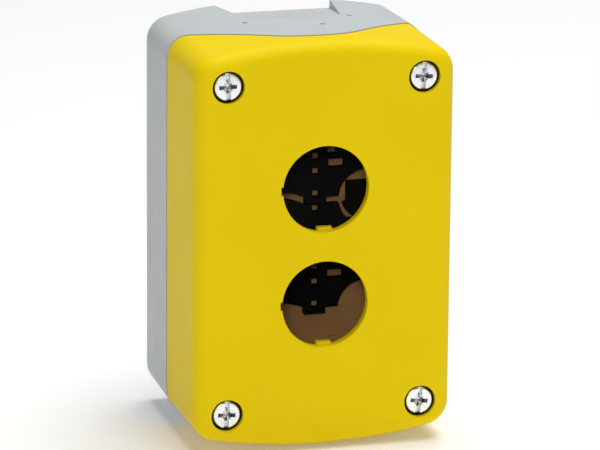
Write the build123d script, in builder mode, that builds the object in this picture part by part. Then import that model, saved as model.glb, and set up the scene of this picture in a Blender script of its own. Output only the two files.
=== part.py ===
"""Empty wall-mounted control station for two 22 mm push buttons.

A grey base is screwed to the wall, and a yellow cover closes it with four captive screws. Each screw
carries a sealing ring under its head and a captive ring that keeps it in the cover, and it ends in a
brass insert in the base. Two black carriers inside the base hold the contact blocks.

Frame: X is to the right, +Z is up, and the cover faces -Y. The origin is the centre of the mounting
face, which lies against the wall. Heights are distances from the wall, so a height h is at y = -h.
"""

import os

from build123d import *

# Driving dimensions, in millimetres
width = 68.0
height = 106.0
depth = 53.0
side_height = 23.5  # height of the base's side walls, where cover and base meet
end_height = 45.0  # height of the base's end walls at their middle
end_bow_radius = 143.0  # the two ends bow outwards a little
corner_radius = 6.9
wall = 2.5
front_wall = 3.0
back_wall = 3.0
front_edge_radius = 4.0
back_draft = 0.6  # how much smaller the base is at the wall

button_pitch = 30.0
button_radius = 11.15
screw_spacing_x = 50.8
screw_spacing_z = 85.2
fixing_spacing_x = 33.0
fixing_spacing_z = 86.0
fixing_radius = 2.15

# Joint between cover and base
joint_gap = 0.3
slope_foot_x = 30.6  # where the sloping joint line reaches the side wall's rim
slope_apex = 51.7  # height where the two slopes would meet
slope_crown_radius = 18.0
slope_foot_radius = 3.0
skirt_lip = 1.3  # outer part of the cover's wall, beside the tongue
tongue_clearance = 0.2
cover_step = 0.2  # how far the cover stands back from the base's outline
tongue_rise = 1.6
rebate_depth = 2.6
gasket_thickness = 0.9

# Push-button holes
plain_bore_depth = 1.2
bore_edge_radius = 0.3
keyed_bore_radius = 11.4
key_width = 3.8
key_tip_radius = 10.2
notch_height = 2.2
notch_depth = 0.45

# Cover screws, as heights from the wall
screw_radius = 2.0
head_radius = 3.55
head_thickness = 2.6
head_top = depth - 0.6
head_bottom = head_top - head_thickness
seal_thickness = 1.2
seal_clearance = 0.15  # between the sealing cup and its recess
seal_top = head_top - 0.45
recess_floor = head_bottom - seal_thickness
recess_radius = 4.15
tube_radius = 5.2
tube_hole_radius = 2.25
tube_end = side_height + joint_gap / 2
ring_pocket_radius = 3.8
ring_pocket_top = tube_end + 9.0
ring_radius = 3.5
ring_bottom = tube_end + 0.35
ring_thickness = 1.5
pillar_radius = 4.5
pillar_top = side_height - joint_gap / 2
insert_top = pillar_top - 0.5
insert_length = 8.0
insert_radius = 3.2
insert_flange_radius = 3.7
insert_flange_thickness = 0.8
insert_bore_radius = 2.06
pillar_hole_bottom = insert_top - insert_length - 2.4
screw_travel = 7.0
screw_tip = insert_top - screw_travel + 0.15
slot_width = 1.3
slot_depth = 1.2
cross_length = 4.8
cross_width = 1.1
cross_depth = 1.8

# Cable entries in the two ends
entry_height = 33.0
entry_radius = 10.25
entry_groove = 0.8
entry_web_z = 51.9
ramp_half_width = 15.6  # at the wall
ramp_tip_half_width = 11.5
ramp_length = 26.0
ramp_floor_z = 49.2
pad_half_width = 18.1
pad_length = 14.0
pad_inner_z = 47.0
pip_side = 1.2
pip_depth = 0.35
pips = [(-13.8, 25.0), (14.4, 22.8), (4.3, 33.4)]  # x and height from the wall

# Contact-block carriers
carrier_half_width = 26.0
carrier_front = 7.5
carrier_thickness = 2.0
carrier_back = carrier_front - carrier_thickness
rail_x = 23.0
rail_thickness = 1.8
rail_length = 16.0
rail_rise = 2.5  # rails sit a little above the holes' centres
hook_inner_x = 26.3
hook_thickness = 1.6
hook_nose = 1.1
hook_length = 6.0

# Derived values
side_half_height = height / 2 - (end_bow_radius - (end_bow_radius**2 - (width / 2) ** 2) ** 0.5)
far = 2 * height
button_centres = {"upper": button_pitch / 2, "lower": -button_pitch / 2}
screw_corners = {
    "upper_left": (-screw_spacing_x / 2, screw_spacing_z / 2),
    "upper_right": (screw_spacing_x / 2, screw_spacing_z / 2),
    "lower_left": (-screw_spacing_x / 2, -screw_spacing_z / 2),
    "lower_right": (screw_spacing_x / 2, -screw_spacing_z / 2),
}

os.makedirs("parts", exist_ok=True)


def at(level):
    """The plane parallel to the wall at that distance from it, facing the front."""
    return Plane.XZ.offset(level)


def outline(inset=0.0):
    """Front-view outline of the box: straight sides, bowed ends and rounded corners."""
    half = width / 2
    with BuildSketch() as shape:
        with BuildLine():
            Line((-half, -side_half_height), (-half, side_half_height))
            ThreePointArc((-half, side_half_height), (0, height / 2), (half, side_half_height))
            Line((half, side_half_height), (half, -side_half_height))
            ThreePointArc((half, -side_half_height), (0, -height / 2), (-half, -side_half_height))
        make_face()
        fillet(shape.vertices(), corner_radius)
        if inset:
            offset(amount=-inset)
    return shape.sketch


def joint_zone(rise):
    """Everything in front of the joint line between base and cover, raised towards the front by rise."""
    with BuildPart() as zone:
        with BuildSketch(Plane.XY):
            with BuildLine():
                line = FilletPolyline(
                    (-width, -side_height - rise),
                    (-slope_foot_x, -side_height - rise),
                    (0, -slope_apex - rise),
                    (slope_foot_x, -side_height - rise),
                    (width, -side_height - rise),
                    radius=(slope_foot_radius, slope_crown_radius, slope_foot_radius),
                )
                Polyline(line @ 1, (width, -far), (-width, -far), line @ 0)
            make_face()
        extrude(amount=height, both=True)
    return zone.part


def rim_band(outer_inset, inner_inset, low, high):
    """A band that follows the joint line all round, from low to high above it."""
    with BuildPart() as band:
        with BuildSketch(at(0)):
            add(outline(outer_inset))
            add(outline(inner_inset), mode=Mode.SUBTRACT)
        extrude(amount=depth)
        add(joint_zone(low), mode=Mode.INTERSECT)
        add(joint_zone(high), mode=Mode.SUBTRACT)
    return band.part


def end_pips():
    """The small three-cornered marks sunk in the upper end."""
    with BuildPart() as marks:
        for x, level in pips:
            with BuildSketch(Plane.XY.offset(height / 2 - (x**2) / (2 * end_bow_radius) - pip_depth)):
                with Locations((x, -level)):
                    RegularPolygon(pip_side, 3)
        extrude(amount=2)
    return marks.part


def entry_groove_ring():
    """The groove that thins the upper end wall from inside, so that the disc knocks out."""
    with BuildPart() as groove:
        with BuildSketch(Plane.XY.offset(pad_inner_z)):
            with Locations((0, -entry_height)):
                Circle(entry_radius)
                Circle(entry_radius - entry_groove, mode=Mode.SUBTRACT)
        extrude(amount=entry_web_z - pad_inner_z)
    return groove.part


def ramp():
    """The wedge cut in the upper end, open at the wall, that lets a cable or a lever in from behind."""
    crown = height / 2 + 1
    run = ramp_length * (crown - ramp_floor_z) / (height / 2 - ramp_floor_z)
    tip = ramp_half_width - (ramp_half_width - ramp_tip_half_width) * run / ramp_length
    with BuildPart() as wedge:
        with BuildSketch(Plane.YZ):
            with BuildLine():
                Polyline((0, ramp_floor_z), (-run, crown), (0, crown), close=True)
            make_face()
        extrude(amount=ramp_half_width, both=True)
        with BuildSketch(Plane.XY):
            with BuildLine():
                sides = [(-ramp_half_width, 0), (ramp_half_width, 0), (tip, -run), (-tip, -run)]
                Polyline(*sides, close=True)
            make_face()
        extrude(amount=crown, mode=Mode.INTERSECT)
    return wedge.part


# Base: the box that is screwed to the wall
with BuildPart() as base:
    with BuildSketch(at(0)):
        add(outline(back_draft))
    with BuildSketch(at(side_height)):
        add(outline())
    loft()
    with BuildSketch(at(side_height)):
        add(outline())
    extrude(amount=end_height)
    with BuildSketch(at(back_wall)):
        add(outline(wall))
    extrude(amount=depth, mode=Mode.SUBTRACT)
    # pads that back the two ramps
    with BuildSketch(at(back_wall)):
        with Locations((0, pad_inner_z + 2), (0, -pad_inner_z - 2)):
            Rectangle(2 * pad_half_width, 4)
    extrude(amount=pad_length - back_wall)
    add(joint_zone(-joint_gap / 2), mode=Mode.SUBTRACT)
    add(rim_band(skirt_lip + tongue_clearance, wall, -1, tongue_rise))
    # pillars, and the webs that tie them to the side walls
    with BuildSketch(at(back_wall)):
        with Locations(*screw_corners.values()):
            Circle(pillar_radius)
        with GridLocations(width - wall - 6, screw_spacing_z, 2, 2):
            Rectangle(7, 1.6)
    extrude(amount=pillar_top - back_wall)
    with BuildSketch(at(pillar_top)):
        with Locations(*screw_corners.values()):
            Circle(insert_radius)
    extrude(amount=-(pillar_top - insert_top + insert_length), mode=Mode.SUBTRACT)
    with BuildSketch(at(pillar_top)):
        with Locations(*screw_corners.values()):
            Circle(insert_flange_radius)
    extrude(amount=-(pillar_top - insert_top + insert_flange_thickness), mode=Mode.SUBTRACT)
    with BuildSketch(at(pillar_hole_bottom)):
        with Locations(*screw_corners.values()):
            Circle(tube_hole_radius)
    extrude(amount=insert_top - pillar_hole_bottom, mode=Mode.SUBTRACT)
    # rails that carry the contact-block carriers
    with BuildSketch(at(back_wall)):
        with Locations((0, rail_rise)):
            with GridLocations(2 * rail_x, button_pitch, 2, 2):
                Rectangle(rail_thickness, rail_length)
    extrude(amount=carrier_back - back_wall)
    # hooks over the carriers' edges
    hook_centre = hook_inner_x + hook_thickness / 2
    with BuildSketch(at(back_wall)):
        with GridLocations(2 * hook_centre, button_pitch, 2, 2):
            Rectangle(hook_thickness, hook_length)
    extrude(amount=carrier_front + 2 - back_wall)
    with BuildSketch(at(carrier_front + 0.2)):
        with GridLocations(2 * (hook_inner_x - hook_nose / 2 + 0.05), button_pitch, 2, 2):
            Rectangle(hook_nose + 0.1, hook_length)
    extrude(amount=1.8)
    # wall fixings: raised seats with clearance holes
    with BuildSketch(at(back_wall)):
        with GridLocations(fixing_spacing_x, fixing_spacing_z, 2, 2):
            Circle(fixing_radius + 2)
    extrude(amount=1.0)
    with BuildSketch(at(0)):
        with GridLocations(fixing_spacing_x, fixing_spacing_z, 2, 2):
            Circle(fixing_radius)
    extrude(amount=back_wall + 1, mode=Mode.SUBTRACT)
    # cable entries, ramps and marks, the same at both ends
    for feature in (entry_groove_ring(), ramp(), end_pips()):
        add(feature, mode=Mode.SUBTRACT)
        add(feature.rotate(Axis.Y, 180), mode=Mode.SUBTRACT)
    back_edges = base.edges().filter_by(GeomType.LINE).filter_by(Axis.Z)
    chamfer(back_edges.group_by(Axis.Y)[-1].filter_by(lambda e: e.length > 60), 0.5)
base.part.label = "base"
export_step(base.part, "parts/base.step")

# Cover: the yellow lid with two keyed 22 mm holes
with BuildPart() as cover:
    with BuildSketch(at(side_height - 1)):
        add(outline(cover_step))
    extrude(amount=depth - side_height + 1)
    fillet(cover.faces().sort_by(Axis.Y)[0].edges(), front_edge_radius)
    with BuildSketch(at(side_height - 1)):
        add(outline(wall + 0.1))
    extrude(amount=depth - front_wall - side_height + 1, mode=Mode.SUBTRACT)
    # screw tubes
    with BuildSketch(at(depth - front_wall)):
        with Locations(*screw_corners.values()):
            Circle(tube_radius)
        with GridLocations(width - wall - 4.5, screw_spacing_z, 2, 2):
            Rectangle(5, 1.6)
    extrude(amount=-(depth - front_wall - side_height))
    # low ribs that stiffen the front wall
    with BuildSketch(at(depth - front_wall)):
        with GridLocations(2 * 17.5, 0, 2, 1):
            Rectangle(1.4, 72)
        with GridLocations(0, 2 * 31.5, 1, 2):
            Rectangle(35, 1.4)
    extrude(amount=-2.0)
    add(joint_zone(joint_gap / 2), mode=Mode.INTERSECT)
    # the tubes run on past the joint line at the two ends, down to the pillars
    with BuildSketch(at(tube_end)):
        with Locations(*screw_corners.values()):
            Circle(tube_radius)
    extrude(amount=depth - front_wall - tube_end)
    add(rim_band(skirt_lip, wall + 0.5, 0, rebate_depth), mode=Mode.SUBTRACT)
    for reach, radius in (
        (depth - recess_floor, recess_radius),
        (depth - tube_end + 1, tube_hole_radius),
    ):
        with BuildSketch(at(depth)):
            with Locations(*screw_corners.values()):
                Circle(radius)
        extrude(amount=-reach, mode=Mode.SUBTRACT)
    with BuildSketch(at(tube_end - 1)):
        with Locations(*screw_corners.values()):
            Circle(ring_pocket_radius)
    extrude(amount=ring_pocket_top - tube_end + 1, mode=Mode.SUBTRACT)
    # push-button holes: a plain bore in front, and a slightly wider keyed bore behind it
    with BuildSketch(at(depth)):
        with Locations(*[(0, z) for z in button_centres.values()]):
            Circle(button_radius)
            with Locations((-button_radius + 1, 0)):
                Rectangle(2 * (1 + notch_depth), notch_height)
    extrude(amount=-plain_bore_depth, mode=Mode.SUBTRACT)
    with BuildSketch(at(depth - plain_bore_depth)):
        with Locations(*[(0, z) for z in button_centres.values()]):
            Circle(keyed_bore_radius)
            with Locations((0, -key_tip_radius - 1)):
                Rectangle(key_width, 2, mode=Mode.SUBTRACT)
    extrude(amount=-(front_wall - plain_bore_depth), mode=Mode.SUBTRACT)
    front_edges = cover.edges().group_by(Axis.Y)[0]
    fillet(front_edges.filter_by(lambda e: abs(e.center().X) < button_radius + 1), bore_edge_radius)
    # shallow gate mark midway between the holes
    gate_radius, gate_depth = 2.6, 0.18
    ball = (gate_radius**2 + gate_depth**2) / (2 * gate_depth)
    with Locations((0, -depth - ball + gate_depth, 0)):
        Sphere(ball, mode=Mode.SUBTRACT)
cover.part.label = "cover"
export_step(cover.part, "parts/cover.step")

# Cover gasket: a soft strip at the bottom of the cover's rebate
gasket_insets = (skirt_lip + 0.02, wall - 0.05)
gasket = Part(rim_band(*gasket_insets, rebate_depth - gasket_thickness, rebate_depth - 0.03).wrapped)
gasket.label = "cover_gasket"
export_step(gasket, "parts/cover_gasket.step")

for corner, (x, z) in screw_corners.items():
    # Captive cover screw: cheese head with a screwdriver slot and a cross recess
    with BuildPart() as screw:
        with BuildSketch(at(head_bottom)):
            with Locations((x, z)):
                Circle(head_radius)
        extrude(amount=head_thickness)
        fillet(screw.faces().sort_by(Axis.Y)[0].edges(), 0.5)
        with BuildSketch(at(screw_tip)):
            with Locations((x, z)):
                Circle(screw_radius)
        extrude(amount=head_bottom - screw_tip)
        chamfer(screw.faces().sort_by(Axis.Y)[-1].edges(), 0.5)
        with BuildSketch(at(head_top)):
            with Locations((x, z)):
                Rectangle(slot_width, 2 * head_radius + 1)
        extrude(amount=-slot_depth, mode=Mode.SUBTRACT)
        with BuildSketch(at(head_top)):
            with Locations((x, z)):
                Rectangle(cross_length, cross_width)
                Rectangle(cross_width, cross_length)
        extrude(amount=-cross_depth, mode=Mode.SUBTRACT)
    screw.part.label = f"cover_screw_{corner}"
    export_step(screw.part, f"parts/cover_screw_{corner}.step")

    # Sealing cup under and around the screw's head
    with BuildPart() as seal:
        with BuildSketch(at(recess_floor)):
            with Locations((x, z)):
                Circle(recess_radius - seal_clearance)
        extrude(amount=seal_top - recess_floor)
        with BuildSketch(at(head_bottom)):
            with Locations((x, z)):
                Circle(head_radius + 0.03)
        extrude(amount=seal_top - head_bottom, mode=Mode.SUBTRACT)
        with BuildSketch(at(recess_floor)):
            with Locations((x, z)):
                Circle(screw_radius + 0.02)
        extrude(amount=seal_thickness, mode=Mode.SUBTRACT)
        fillet(seal.faces().sort_by(Axis.Y)[-1].outer_wire().edges(), 0.4)
    seal.part.label = f"screw_seal_{corner}"
    export_step(seal.part, f"parts/screw_seal_{corner}.step")

    # Captive ring on the shank, which stops the screw falling out of the cover
    with BuildPart() as ring:
        with BuildSketch(at(ring_bottom)):
            with Locations((x, z)):
                Circle(ring_radius)
                Circle(screw_radius + 0.01, mode=Mode.SUBTRACT)
        extrude(amount=ring_thickness)
    ring.part.label = f"captive_ring_{corner}"
    export_step(ring.part, f"parts/captive_ring_{corner}.step")

    # Brass insert in the base's pillar
    with BuildPart() as insert:
        with BuildSketch(at(insert_top - insert_length)):
            with Locations((x, z)):
                Circle(insert_radius - 0.01)
        extrude(amount=insert_length)
        with BuildSketch(at(insert_top - insert_flange_thickness)):
            with Locations((x, z)):
                Circle(insert_flange_radius - 0.01)
        extrude(amount=insert_flange_thickness)
        with BuildSketch(at(insert_top)):
            with Locations((x, z)):
                Circle(insert_bore_radius)
        extrude(amount=-insert_length, mode=Mode.SUBTRACT)
    insert.part.label = f"threaded_insert_{corner}"
    export_step(insert.part, f"parts/threaded_insert_{corner}.step")

# Contact-block carriers: one pierced plate behind each hole. Places below are from the hole's centre.
# Round cut-outs of one radius lie midway between the holes, at the carrier's lower corners.
body_top, body_bottom = 13.5, -14.6
tab_x, tab_width, tab_bottom = 10.3, 5.7, -16.35
crest_radius, hollow_radius = 15.3, 17.2
round_x, round_radius, round_slot = 24.0, 7.5, 1.2
round_low, round_high = -15.2, -15.2 + button_pitch
ear_inner_x, ear_top = 18.8, 19.1
mirrored = (-1, 1)
for name, centre in button_centres.items():
    with BuildPart() as carrier:
        plane = at(carrier_back).shift_origin((0, -carrier_back, centre))
        with BuildSketch(plane):
            with Locations((0, (body_top + body_bottom) / 2)):
                Rectangle(2 * carrier_half_width, body_top - body_bottom)
            Circle(crest_radius)
            with Locations((0, (tab_bottom + body_top) / 2)):
                Rectangle(2 * tab_x + tab_width, body_top - tab_bottom + 3.2, mode=Mode.INTERSECT)
            with Locations((0, (body_top + body_bottom) / 2)):
                Rectangle(2 * carrier_half_width, body_top - body_bottom)
            # ears that reach up between the round cut-outs
            for side in mirrored:
                ear_width = carrier_half_width - ear_inner_x
                with Locations((side * (ear_inner_x + ear_width / 2), ear_top - 3)):
                    Rectangle(ear_width, 6)
            with Locations(*[(side * round_x, round_low) for side in mirrored]):
                Circle(round_radius, mode=Mode.SUBTRACT)
            with Locations((0, -button_pitch)):
                Circle(hollow_radius, mode=Mode.SUBTRACT)
            with Locations(*[(side * tab_x, tab_bottom + 2) for side in mirrored]):
                Rectangle(tab_width, 4)
            for side in mirrored:
                with BuildSketch(mode=Mode.PRIVATE) as slot:
                    with Locations((side * round_x, round_high)):
                        Circle(round_radius)
                        Circle(round_radius - round_slot, mode=Mode.SUBTRACT)
                    with Locations((side * 18.4, 12.2)):
                        Rectangle(4.6, 6.4, mode=Mode.INTERSECT)
                add(slot.sketch, mode=Mode.SUBTRACT)
            # windows
            with Locations(*[(side * tab_x, z) for side in mirrored for z in (12.4, -3.6, -7.6, -13.6)]):
                Rectangle(2.0, 1.9, mode=Mode.SUBTRACT)
            with Locations(*[(side * 15.8, -5.6) for side in mirrored]):
                Rectangle(4.4, 2.3, mode=Mode.SUBTRACT)
            with Locations(*[(side * 14.7, -2.1) for side in mirrored]):
                Rectangle(2.8, 2.0, mode=Mode.SUBTRACT)
        extrude(amount=carrier_thickness)
    carrier.part.label = f"contact_carrier_{name}"
    export_step(carrier.part, f"parts/contact_carrier_{name}.step")
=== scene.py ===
import math

import bmesh
import bpy
from mathutils import Euler, Matrix, Vector


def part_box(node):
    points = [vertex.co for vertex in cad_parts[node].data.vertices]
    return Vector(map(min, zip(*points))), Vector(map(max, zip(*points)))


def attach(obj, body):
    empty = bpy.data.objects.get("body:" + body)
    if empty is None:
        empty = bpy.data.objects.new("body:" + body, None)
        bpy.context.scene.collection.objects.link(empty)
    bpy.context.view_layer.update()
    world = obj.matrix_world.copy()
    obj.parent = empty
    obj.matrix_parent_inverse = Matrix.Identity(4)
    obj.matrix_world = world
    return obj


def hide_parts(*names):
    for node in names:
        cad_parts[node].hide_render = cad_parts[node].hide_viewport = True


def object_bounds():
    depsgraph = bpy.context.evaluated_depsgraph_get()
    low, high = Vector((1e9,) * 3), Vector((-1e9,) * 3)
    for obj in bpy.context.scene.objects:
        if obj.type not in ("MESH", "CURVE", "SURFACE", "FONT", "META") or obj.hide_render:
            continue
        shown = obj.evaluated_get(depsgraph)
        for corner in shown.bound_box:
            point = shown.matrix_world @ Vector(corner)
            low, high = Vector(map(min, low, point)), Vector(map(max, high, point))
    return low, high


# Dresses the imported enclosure: finishes for its nodes, detailed screws, inserts and rings in place of
# the plain ones, and a stage with lights and a camera. Lengths are in metres.
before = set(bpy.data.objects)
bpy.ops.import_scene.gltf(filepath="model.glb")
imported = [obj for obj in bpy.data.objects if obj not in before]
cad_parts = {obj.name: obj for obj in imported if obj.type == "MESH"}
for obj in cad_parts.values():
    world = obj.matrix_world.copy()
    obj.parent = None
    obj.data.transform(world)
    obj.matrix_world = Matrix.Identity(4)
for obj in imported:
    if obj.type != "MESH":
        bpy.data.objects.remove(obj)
cad_low, cad_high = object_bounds()
MM = 0.001

scene = bpy.context.scene
scene.view_settings.view_transform = "Standard"
scene.view_settings.look = "None"
scene.view_settings.exposure = 0.0
scene.view_settings.gamma = 1.0

# ---------------------------------------------------------------- materials
noise_low, noise_high = 0.3, 0.7  # most of a noise texture's values lie between these


class Shader:
    """Keeps one material's nodes short to write. Textures, maths and bumps give back an output socket."""

    def __init__(self, name):
        self.material = bpy.data.materials.new(name)
        self.material.use_nodes = True
        self.tree = self.material.node_tree
        self.tree.nodes.clear()
        self.bsdf = self.add("ShaderNodeBsdfPrincipled")
        out = self.add("ShaderNodeOutputMaterial")
        self.put(out, {"Surface": self.bsdf.outputs["BSDF"]})
        self.place = self.add("ShaderNodeTexCoord").outputs["Object"]

    def add(self, kind, **values):
        node = self.tree.nodes.new(kind)
        for key, value in values.items():
            setattr(node, key, value)
        return node

    def put(self, node, inputs):
        """Fills a node's inputs: a socket is linked to the input, anything else becomes its value."""
        for key, value in inputs.items():
            if isinstance(value, bpy.types.NodeSocket):
                self.tree.links.new(value, node.inputs[key])
            else:
                node.inputs[key].default_value = value

    def noise(self, size, detail=2.0, rough=0.5):
        """Noise whose blotches are about size metres across, on the part's own coordinates."""
        node = self.add("ShaderNodeTexNoise")
        self.put(node, {"Vector": self.place, "Scale": 1.0 / size, "Detail": detail, "Roughness": rough})
        return node.outputs["Fac"]

    def spread(self, source, low, high, start=noise_low, end=noise_high):
        """Maps start to end of the source onto low to high."""
        node = self.add("ShaderNodeMapRange")
        self.put(node, {"Value": source, "From Min": start, "From Max": end, "To Min": low, "To Max": high})
        return node.outputs["Result"]

    def ramp(self, source, dark, light):
        """Blends from dark to light over the range of a noise texture."""
        node = self.add("ShaderNodeValToRGB")
        stops = zip(node.color_ramp.elements, (noise_low, noise_high), (dark, light))
        for element, place, colour in stops:
            element.position = place
            element.color = (*colour, 1.0)
        self.put(node, {"Fac": source})
        return node.outputs["Color"]

    def mix(self, share, first, second):
        """The first colour where share is 0, the second where it is 1."""
        node = self.add("ShaderNodeMix", data_type="RGBA")
        self.put(node, {"Factor": share, "A": first, "B": second})
        return next(out for out in node.outputs if out.type == "RGBA")

    def maths(self, operation, *values):
        """One sum on numbers or sockets. A comparison gives 1 where it holds and 0 elsewhere."""
        node = self.add("ShaderNodeMath", operation=operation)
        self.put(node, dict(enumerate(values)))
        return node.outputs["Value"]

    def bump(self, source, depth, strength, below=None):
        """A bump of that depth in metres, laid over the normals from below."""
        node = self.add("ShaderNodeBump")
        self.put(node, {"Height": source, "Distance": depth, "Strength": strength})
        if below is not None:
            self.put(node, {"Normal": below})
        return node.outputs["Normal"]


def moulded(name, dark, light, rough, specular, grain=0.35 * MM):
    """Moulded plastic: faint drifts of colour, a fine eroded grain and a slow waviness from shrinkage."""
    drift, cloud, wave = 22.0 * MM, 6.0 * MM, 14.0 * MM
    grain_depth, wave_depth, edge_radius = 0.012 * MM, 0.12 * MM, 0.15 * MM
    s = Shader(name)
    edge = s.add("ShaderNodeBevel", samples=4)
    s.put(edge, {"Radius": edge_radius})
    rounded = edge.outputs["Normal"]
    fine = s.bump(s.noise(grain, detail=3.0, rough=0.6), grain_depth, strength=0.5, below=rounded)
    s.put(s.bsdf, {
        "Base Color": s.ramp(s.noise(drift, detail=3.0), dark, light),
        "Roughness": s.spread(s.noise(cloud, detail=4.0), *rough),
        "Normal": s.bump(s.noise(wave, detail=1.0), wave_depth, strength=0.12, below=fine),
        "Specular IOR Level": specular,
        "IOR": 1.54,
    })
    return s


def metal(name, dark, light, rough):
    """Plated or turned metal: cloudy tint, painted shade darkening the recesses, uneven gloss and fine tool
    marks.
    """
    cloud, gloss, marks, mark_depth = 1.6 * MM, 0.7 * MM, 0.22 * MM, 0.006 * MM
    painted_shade_reach, painted_shade_factor = 1.1 * MM, 0.5
    s = Shader(name)
    # painted shade: ambient occlusion darkens the base colour in slots, cross recesses and thread grooves
    recess = s.add("ShaderNodeAmbientOcclusion", samples=6)
    s.put(recess, {"Distance": painted_shade_reach})
    unshaded = s.spread(recess.outputs["AO"], 0.0, 1.0, start=0.35, end=0.85)
    # the painted shade colour is the dark tint at half brightness
    painted_shade = (*(painted_shade_factor * channel for channel in dark), 1.0)
    tint = s.ramp(s.noise(cloud, detail=4.0), dark, light)
    s.put(s.bsdf, {
        "Base Color": s.mix(unshaded, painted_shade, tint),
        "Roughness": s.spread(s.noise(gloss, detail=3.0), *rough),
        "Normal": s.bump(s.noise(marks, detail=3.0), mark_depth, strength=0.5),
        "Metallic": 1.0,
    })
    return s


def paint_bounce_light_on_floor(s, dark, light):
    """Paints a brown tint standing for shade lit by yellow bounce light onto the floor inside the base and
    the low seats on it, which are told by their place.
    """
    half_x, half_z, corner_cut = 31.0 * MM, 48.5 * MM, 2.7 * MM
    level, margin = 3.0 * MM, 0.2 * MM
    seat_x, seat_z, seat_rise = 20.8 * MM, 37.0 * MM, 1.1 * MM
    bounce_blotch = 1 / 60
    split = s.add("ShaderNodeSeparateXYZ")
    s.put(split, {"Vector": s.place})
    y = split.outputs["Y"]
    across, along = s.maths("ABSOLUTE", split.outputs["X"]), s.maths("ABSOLUTE", split.outputs["Z"])
    seat = s.maths("MULTIPLY", s.maths("LESS_THAN", across, seat_x), s.maths("GREATER_THAN", along, seat_z))
    lowered = s.maths("ADD", y, s.maths("MULTIPLY", seat, seat_rise))
    limits = (
        s.maths("LESS_THAN", across, half_x),
        s.maths("LESS_THAN", along, half_z),
        s.maths("LESS_THAN", s.maths("ADD", across, along), half_x + half_z - corner_cut),
        s.maths("GREATER_THAN", lowered, -level - margin),
        s.maths("LESS_THAN", y, margin - level),
    )
    bounce_mask = limits[0]
    for limit in limits[1:]:
        bounce_mask = s.maths("MULTIPLY", bounce_mask, limit)
    plain = s.bsdf.inputs["Base Color"].links[0].from_socket
    # painted shade and bounce light: a brown ramp in place of the dim, yellow-lit grey floor
    painted_bounce = s.ramp(s.noise(bounce_blotch, detail=3.0), dark, light)
    s.put(s.bsdf, {"Base Color": s.mix(bounce_mask, plain, painted_bounce)})


satin = (0.42, 0.54)
yellow = moulded("yellow_polycarbonate", (0.90, 0.665, 0.0005), (0.93, 0.69, 0.001), satin, specular=0.08)
grey = moulded("light_grey_polycarbonate", (0.535, 0.57, 0.58), (0.57, 0.61, 0.62), satin, specular=0.25)
# painted shade and yellow bounce light on the grey base's inner floor and seats
paint_bounce_light_on_floor(grey, (0.70, 0.36, 0.14), (0.82, 0.46, 0.17))
black = moulded(
    "black_polyamide", (0.003, 0.003, 0.0035), (0.008, 0.008, 0.009), (0.5, 0.62),
    specular=0.2, grain=0.5 * MM,
)
rubber = moulded(
    "black_elastomer", (0.004, 0.004, 0.004), (0.010, 0.010, 0.010), (0.7, 0.85),
    specular=0.15, grain=0.3 * MM,
)
nylon = moulded("natural_nylon", (0.70, 0.68, 0.60), (0.80, 0.78, 0.71), (0.4, 0.5), specular=0.5)
zinc = metal("zinc_plated_steel", (0.88, 0.89, 0.91), (0.96, 0.97, 0.98), (0.2, 0.36))
brass = metal("turned_brass", (0.70, 0.47, 0.17), (0.82, 0.60, 0.27), (0.22, 0.38))

# the first entry that a node's name starts with is its finish
finishes = (
    ("base", grey), ("contact_carrier", black), ("cover_gasket", rubber), ("cover_screw", zinc),
    ("cover", yellow), ("screw_seal", rubber), ("captive_ring", nylon), ("threaded_insert", brass),
)
for node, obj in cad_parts.items():
    finish = next(shader for start, shader in finishes if node.startswith(start))
    obj.data.materials.clear()
    obj.data.materials.append(finish.material)


# ---------------------------------------------------------------- mesh helpers
def shade(mesh, sharp_angle=35.0):
    mesh.shade_smooth()
    mesh.set_sharp_from_angle(angle=math.radians(sharp_angle))


def new_object(name, bm, shader, sharp_angle=35.0):
    mesh = bpy.data.meshes.new(name)
    bmesh.ops.recalc_face_normals(bm, faces=bm.faces)
    bm.to_mesh(mesh)
    bm.free()
    shade(mesh, sharp_angle)
    obj = bpy.data.objects.new(name, mesh)
    obj.data.materials.append(shader.material)
    scene.collection.objects.link(obj)
    return obj


def circle(bm, radius, z, steps):
    """A ring of vertices about Z. The radius is a number, or a function of the angle."""
    ring = []
    for i in range(steps):
        a = 2 * math.pi * i / steps
        r = radius(a) if callable(radius) else radius
        ring.append(bm.verts.new((r * math.cos(a), r * math.sin(a), z)))
    return ring


def skin(bm, loops):
    """Joins each closed loop of vertices to the next by a band of faces. A loop may be one point."""
    for a, b in zip(loops, loops[1:]):
        steps = max(len(a), len(b))
        for i in range(steps):
            j = (i + 1) % steps
            face = [a[i % len(a)], a[j % len(a)], b[j % len(b)], b[i % len(b)]]
            bm.faces.new(list(dict.fromkeys(face)))


def lathe(profile, steps=96):
    """A closed solid turned about Z from (radius, height) points, first and last on the axis."""
    bm = bmesh.new()
    skin(bm, [circle(bm, r, z, steps if r else 1) for r, z in profile])
    return bm


def sleeve(outer, inner, steps=72):
    """A closed tube about Z, with (height, radius) rows outside and inside, both from the bottom up."""
    bm = bmesh.new()
    outside, inside = ([circle(bm, r, z, steps) for z, r in rows] for rows in (outer, inner))
    skin(bm, outside + inside[::-1] + [outside[0]])
    return bm


def block(bm, half_x, half_y, z0, z1, taper, turn=0.0):
    """Adds a closed block about the axis. Its lower end is smaller by taper."""
    spin = Matrix.Rotation(turn, 4, "Z")
    signs = [(-1, -1), (1, -1), (1, 1), (-1, 1)]
    low, high = (
        [bm.verts.new(spin @ Vector((x * half_x * share, y * half_y * share, z))) for x, y in signs]
        for share, z in ((taper, z0), (1.0, z1))
    )
    bm.faces.new(low[::-1])
    bm.faces.new(high)
    skin(bm, [low, high])


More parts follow.
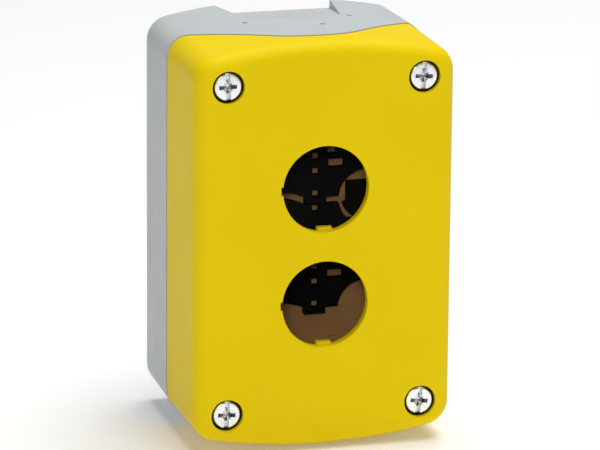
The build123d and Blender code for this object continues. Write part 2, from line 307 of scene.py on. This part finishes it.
def carve(obj, *cutters):
    """Cuts the closed cutters out of obj for good."""
    for bm in cutters:
        bmesh.ops.recalc_face_normals(bm, faces=bm.faces)
        mesh = bpy.data.meshes.new("cutter")
        bm.to_mesh(mesh)
        bm.free()
        cutter = bpy.data.objects.new("cutter", mesh)
        scene.collection.objects.link(cutter)
        cut = obj.modifiers.new("cut", "BOOLEAN")
        cut.operation = "DIFFERENCE"
        cut.solver = "EXACT"
        cut.object = cutter
        shaped = obj.evaluated_get(bpy.context.evaluated_depsgraph_get())
        result = bpy.data.meshes.new_from_object(shaped)
        obj.modifiers.clear()
        obj.data = result
        bpy.data.objects.remove(cutter)
    shade(obj.data)


def round_place(node):
    """A round node's axis (x and z), its radius, and its lowest and highest levels above the wall."""
    low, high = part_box(node)
    return (low.x + high.x) / 2, (low.z + high.z) / 2, (high.x - low.x) / 2, -high.y, -low.y


def towards_front(obj, x, z, level):
    """Stands a piece turned about Z on the wall plane's normal, its zero at that height from the wall."""
    obj.data.transform(Matrix.Translation((x, -level, z)) @ Euler((math.pi / 2, 0, 0)).to_matrix().to_4x4())


# ---------------------------------------------------------------- cover screws
thread_pitch = 0.7 * MM
thread_crest, thread_root = 1.99 * MM, 1.58 * MM
thread_length = 7.4 * MM
head_height = 2.6 * MM


def thread(length):
    """A right-hand thread about Z from 0 to length, run out at both ends and closed."""
    turn_steps, pitch_steps = 40, 8
    run_in, run_out = 1.2 * MM, 0.8 * MM
    point, point_drop = 0.6 * MM, 0.35 * MM
    flank_height, flank_slope = 1.75, 4.0
    bm = bmesh.new()
    rows = int(length / thread_pitch * pitch_steps)
    rings = []
    for k in range(rows + 1):
        z = length * k / rows
        fade = min(1.0, z / run_in, (length - z) / run_out)

        def flank(a, z=z, fade=fade):
            share = (z / thread_pitch - a / (2 * math.pi)) % 1.0
            rise = min(1.0, max(0.0, flank_height - abs(share - 0.5) * flank_slope))
            radius = thread_root + (thread_crest - thread_root) * rise * fade
            tip = thread_root - point_drop * (1 - z / point)
            return min(radius, tip) if z < point else radius

        rings.append(circle(bm, flank, z, turn_steps))
    skin(bm, rings)
    bm.faces.new(rings[0][::-1])
    bm.faces.new(rings[-1])
    return bm


def head_profile(radius):
    """The head below its top face at zero: a rounded rim and a very slightly crowned top."""
    rim, rim_drop, rim_steps = 0.45 * MM, 0.03 * MM, 8
    under, crown = 0.15 * MM, 0.012 * MM
    points = [(0, -head_height), (radius - under, -head_height), (radius, -head_height + under)]
    points.append((radius, -rim - rim_drop))
    for i in range(1, rim_steps + 1):
        a = math.pi / 2 * i / rim_steps
        points.append((radius - rim + rim * math.cos(a), -rim - rim_drop + rim * math.sin(a)))
    return points + [(radius * 0.6, -crown), (radius * 0.3, -crown / 4), (0, 0)]


def recess_cutters(radius):
    """A driver recess: a slot right across, a cross and a cone deeper down, and fine diagonal ticks."""
    above = 0.2 * MM
    slot_half, slot_floor = 0.65 * MM, -1.15 * MM
    arm, arm_half, cross_floor = 2.4 * MM, 0.56 * MM, -2.1 * MM
    tick, tick_half, tick_floor = 1.75 * MM, 0.09 * MM, -0.35 * MM
    cone_point, cone_low, cone_high = -2.3 * MM, 0.45 * MM, 1.25 * MM
    slot, cross, well, ticks = bmesh.new(), bmesh.new(), bmesh.new(), bmesh.new()
    block(slot, slot_half, radius + MM, slot_floor, MM, taper=0.97)
    block(cross, arm, arm_half, cross_floor, above, taper=0.55)
    block(well, arm_half, arm, cross_floor, above, taper=0.55)
    for turn in (math.pi / 4, 3 * math.pi / 4):
        block(ticks, tick, tick_half, tick_floor, above, taper=0.6, turn=turn)
    cone = lathe([(0, cone_point), (cone_low, cross_floor), (cone_high, above), (0, above)], steps=24)
    return slot, cross, well, cone, ticks


def screw_head(corner, radius, slot_turn):
    head = new_object(f"screw_head_{corner}", lathe(head_profile(radius)), zinc)
    carve(head, *recess_cutters(radius))
    head.data.transform(Matrix.Rotation(slot_turn, 4, "Z"))
    soften = head.modifiers.new("edges", "BEVEL")
    soften.width = 0.06 * MM
    soften.segments = 2
    soften.limit_method = "ANGLE"
    soften.angle_limit = math.radians(40)
    return head


def screw_shank(corner, length):
    """The plain shank, from the thread up to the head at length, where its neck is a little wider."""
    step, neck = 0.25 * MM, 0.2 * MM
    profile = [
        (0, thread_length), (thread_root, thread_length), (thread_crest, thread_length + step),
        (thread_crest, length - step), (thread_crest + neck, length), (0, length),
    ]
    return new_object(f"screw_shank_{corner}", lathe(profile, steps=48), zinc)


def cover_screw(corner, slot_turn):
    node = f"cover_screw_{corner}"
    body = "screw_" + corner
    x, z, radius, tip, top = round_place(node)
    overlap = 0.01 * MM
    obj = screw_head(corner, radius, slot_turn)
    shank = screw_shank(corner, top - head_height - tip)
    spiral = new_object(f"screw_thread_{corner}", thread(thread_length + overlap), zinc, sharp_angle=60)
    towards_front(obj, x, z, top)
    towards_front(shank, x, z, tip)
    towards_front(spiral, x, z, tip)
    for piece in (obj, shank, spiral):
        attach(piece, body)
    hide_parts(node)


for corner, slot_turn in (("upper_left", 2), ("upper_right", -4), ("lower_left", -3), ("lower_right", -6)):
    cover_screw(corner, math.radians(slot_turn))


# ---------------------------------------------------------------- brass inserts and captive rings
def insert_outside(flange, length):
    """The insert's (height, radius) rows outside: three knurled bands under a flange."""
    body = flange - 0.5 * MM
    groove = body - 0.3 * MM
    knurls, knurl_depth, knurl_step = 18, 0.16 * MM, 0.05
    shoulder, flange_edge, chamfer = length - 0.8 * MM, 0.08 * MM, 0.12 * MM
    tip_length, tip_drop, tip_step, shoulder_step = 0.35 * MM, 0.35 * MM, 0.05 * MM, 0.01 * MM

    def knurl(a):
        return body - knurl_depth * abs(math.sin(knurls * a))

    rows = [(0, body - tip_drop), (tip_length, body - tip_step)]
    for start, end in ((0.6, 2.4), (3.2, 4.8), (5.6, 7.0)):
        rows += [(start * MM, groove), ((start + knurl_step) * MM, knurl)]
        rows += [((end - knurl_step) * MM, knurl), (end * MM, groove)]
    rows += [(shoulder - shoulder_step, groove), (shoulder, flange - flange_edge)]
    rows += [(shoulder + flange_edge, flange), (length - chamfer, flange), (length, flange - chamfer)]
    return rows


def insert_inside(length):
    """The insert's (height, radius) rows inside: a thread that fades out towards wider ends."""
    bore, thread_depth, groove_slope = 2.06 * MM, 0.26 * MM, 2.6
    fade_length, steps = 0.5 * MM, 88
    rows = []
    for k in range(steps + 1):
        level = length * k / steps
        fade = min(1.0, level / fade_length, (length - level) / fade_length)

        def groove(a, level=level, fade=fade):
            share = (level / thread_pitch - a / (2 * math.pi)) % 1.0
            return bore + thread_depth * fade * max(0.0, 1 - abs(share - 0.5) * groove_slope)

        rows.append((level, groove))
    rows[0], rows[-1] = (0, bore + 0.3 * MM), (length, bore + 0.35 * MM)
    return rows


def brass_insert(corner):
    node = f"threaded_insert_{corner}"
    x, z, flange, bottom, top = round_place(node)
    length = top - bottom
    tube = sleeve(insert_outside(flange, length), insert_inside(length))
    piece = new_object(f"brass_insert_{corner}", tube, brass)
    towards_front(piece, x, z, bottom)
    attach(piece, "base")
    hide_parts(node)


def split_ring(corner, opening):
    """The nylon ring on the screw's shank: chamfered edges, and a gap so that it can snap on."""
    node = f"captive_ring_{corner}"
    x, z, outer, bottom, top = round_place(node)
    height = top - bottom
    inner, chamfer, half_gap, steps = 2.01 * MM, 0.22 * MM, 0.16, 80
    section = [
        (inner, chamfer), (inner + chamfer, 0), (outer - chamfer, 0), (outer, chamfer),
        (outer, height - chamfer), (outer - chamfer, height),
        (inner + chamfer, height), (inner, height - chamfer),
    ]
    bm = bmesh.new()
    loops = []
    for k in range(steps + 1):
        a = opening + half_gap + (2 * math.pi - 2 * half_gap) * k / steps
        loops.append([bm.verts.new((r * math.cos(a), r * math.sin(a), level)) for r, level in section])
    skin(bm, loops)
    bm.faces.new(loops[0])
    bm.faces.new(loops[-1][::-1])
    piece = new_object(f"split_ring_{corner}", bm, nylon)
    towards_front(piece, x, z, bottom)
    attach(piece, "screw_" + corner)
    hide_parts(node)


for corner, opening in (("upper_left", 0.9), ("upper_right", 2.3), ("lower_left", 4.1), ("lower_right", 5.2)):
    brass_insert(corner)
    split_ring(corner, opening)


# ---------------------------------------------------------------- stage, light and camera
def pale_backdrop():
    s = Shader("pale_backdrop")
    s.put(s.bsdf, {
        "Base Color": s.ramp(s.noise(0.4), (0.93, 0.93, 0.93), (0.95, 0.95, 0.95)),
        "Roughness": 0.9,
        "Specular IOR Level": 0.1,
        "Emission Color": (1.0, 1.0, 1.0, 1.0),
        "Emission Strength": 0.13,
    })
    return s


def sweep():
    """A floor a hair below the part, which bends up into a wall behind it."""
    floor_z = cad_low.z - 0.6 * MM
    front, back, half_width, wall_height = -4.5, 3.2, 5.0, 4.0
    bend, bend_steps = 1.2, 12
    outline = [(front, 0.0), (back - bend, 0.0)]
    for i in range(1, bend_steps + 1):
        a = math.pi / 2 * i / bend_steps
        outline.append((back - bend + bend * math.sin(a), bend - bend * math.cos(a)))
    outline.append((back, wall_height))
    bm = bmesh.new()
    rows = [[bm.verts.new((x, y, floor_z + z)) for x in (-half_width, half_width)] for y, z in outline]
    for a, b in zip(rows, rows[1:]):
        bm.faces.new((a[0], a[1], b[1], b[0]))
    return bm


backdrop = new_object("floor", sweep(), pale_backdrop())

world = bpy.data.worlds.new("studio")
scene.world = world
world.use_nodes = True
background = world.node_tree.nodes["Background"]
background.inputs["Color"].default_value = (1.0, 1.0, 1.0, 1.0)
background.inputs["Strength"].default_value = 0.1


def area_light(name, place, target, size, power):
    data = bpy.data.lights.new(name, "AREA")
    data.shape = "RECTANGLE"
    data.size, data.size_y = size
    data.energy = power
    obj = bpy.data.objects.new(name, data)
    obj.location = place
    obj.rotation_mode = "QUATERNION"
    obj.rotation_quaternion = (Vector(target) - Vector(place)).to_track_quat("-Z", "Y")
    scene.collection.objects.link(obj)


area_light("key", place=(0.05, -0.6, 1.05), target=(0, -0.03, 0.02), size=(0.6, 0.4), power=2.2)
area_light("left", place=(-1.0, -0.45, 0.25), target=(0, -0.03, 0), size=(0.5, 0.8), power=0.45)
area_light("top", place=(0.25, 0.1, 1.35), target=(0, 0.02, 0), size=(1.1, 0.9), power=16.5)
area_light("front", place=(-0.38, -1.3, 0.42), target=(0, -0.03, 0), size=(0.12, 0.12), power=2.8)

azimuth, elevation, roll = math.radians(-15.8), math.radians(15.4), math.radians(0.49)
distance = 1.15
target = Vector((-0.0068, -0.053, 0.0062))
towards_camera = Vector((
    math.sin(azimuth) * math.cos(elevation),
    -math.cos(azimuth) * math.cos(elevation),
    math.sin(elevation),
))
camera_data = bpy.data.cameras.new("camera")
camera_data.sensor_width = 36.0
camera_data.lens = 275.22
camera_data.clip_start, camera_data.clip_end = 0.01, 50.0
camera = bpy.data.objects.new("camera", camera_data)
camera.location = target + towards_camera * distance
look = (-towards_camera).to_track_quat("-Z", "Y").to_matrix().to_4x4()
camera.rotation_mode = "QUATERNION"
camera.rotation_quaternion = (look @ Matrix.Rotation(roll, 4, "Z")).to_quaternion()
scene.collection.objects.link(camera)
scene.camera = camera
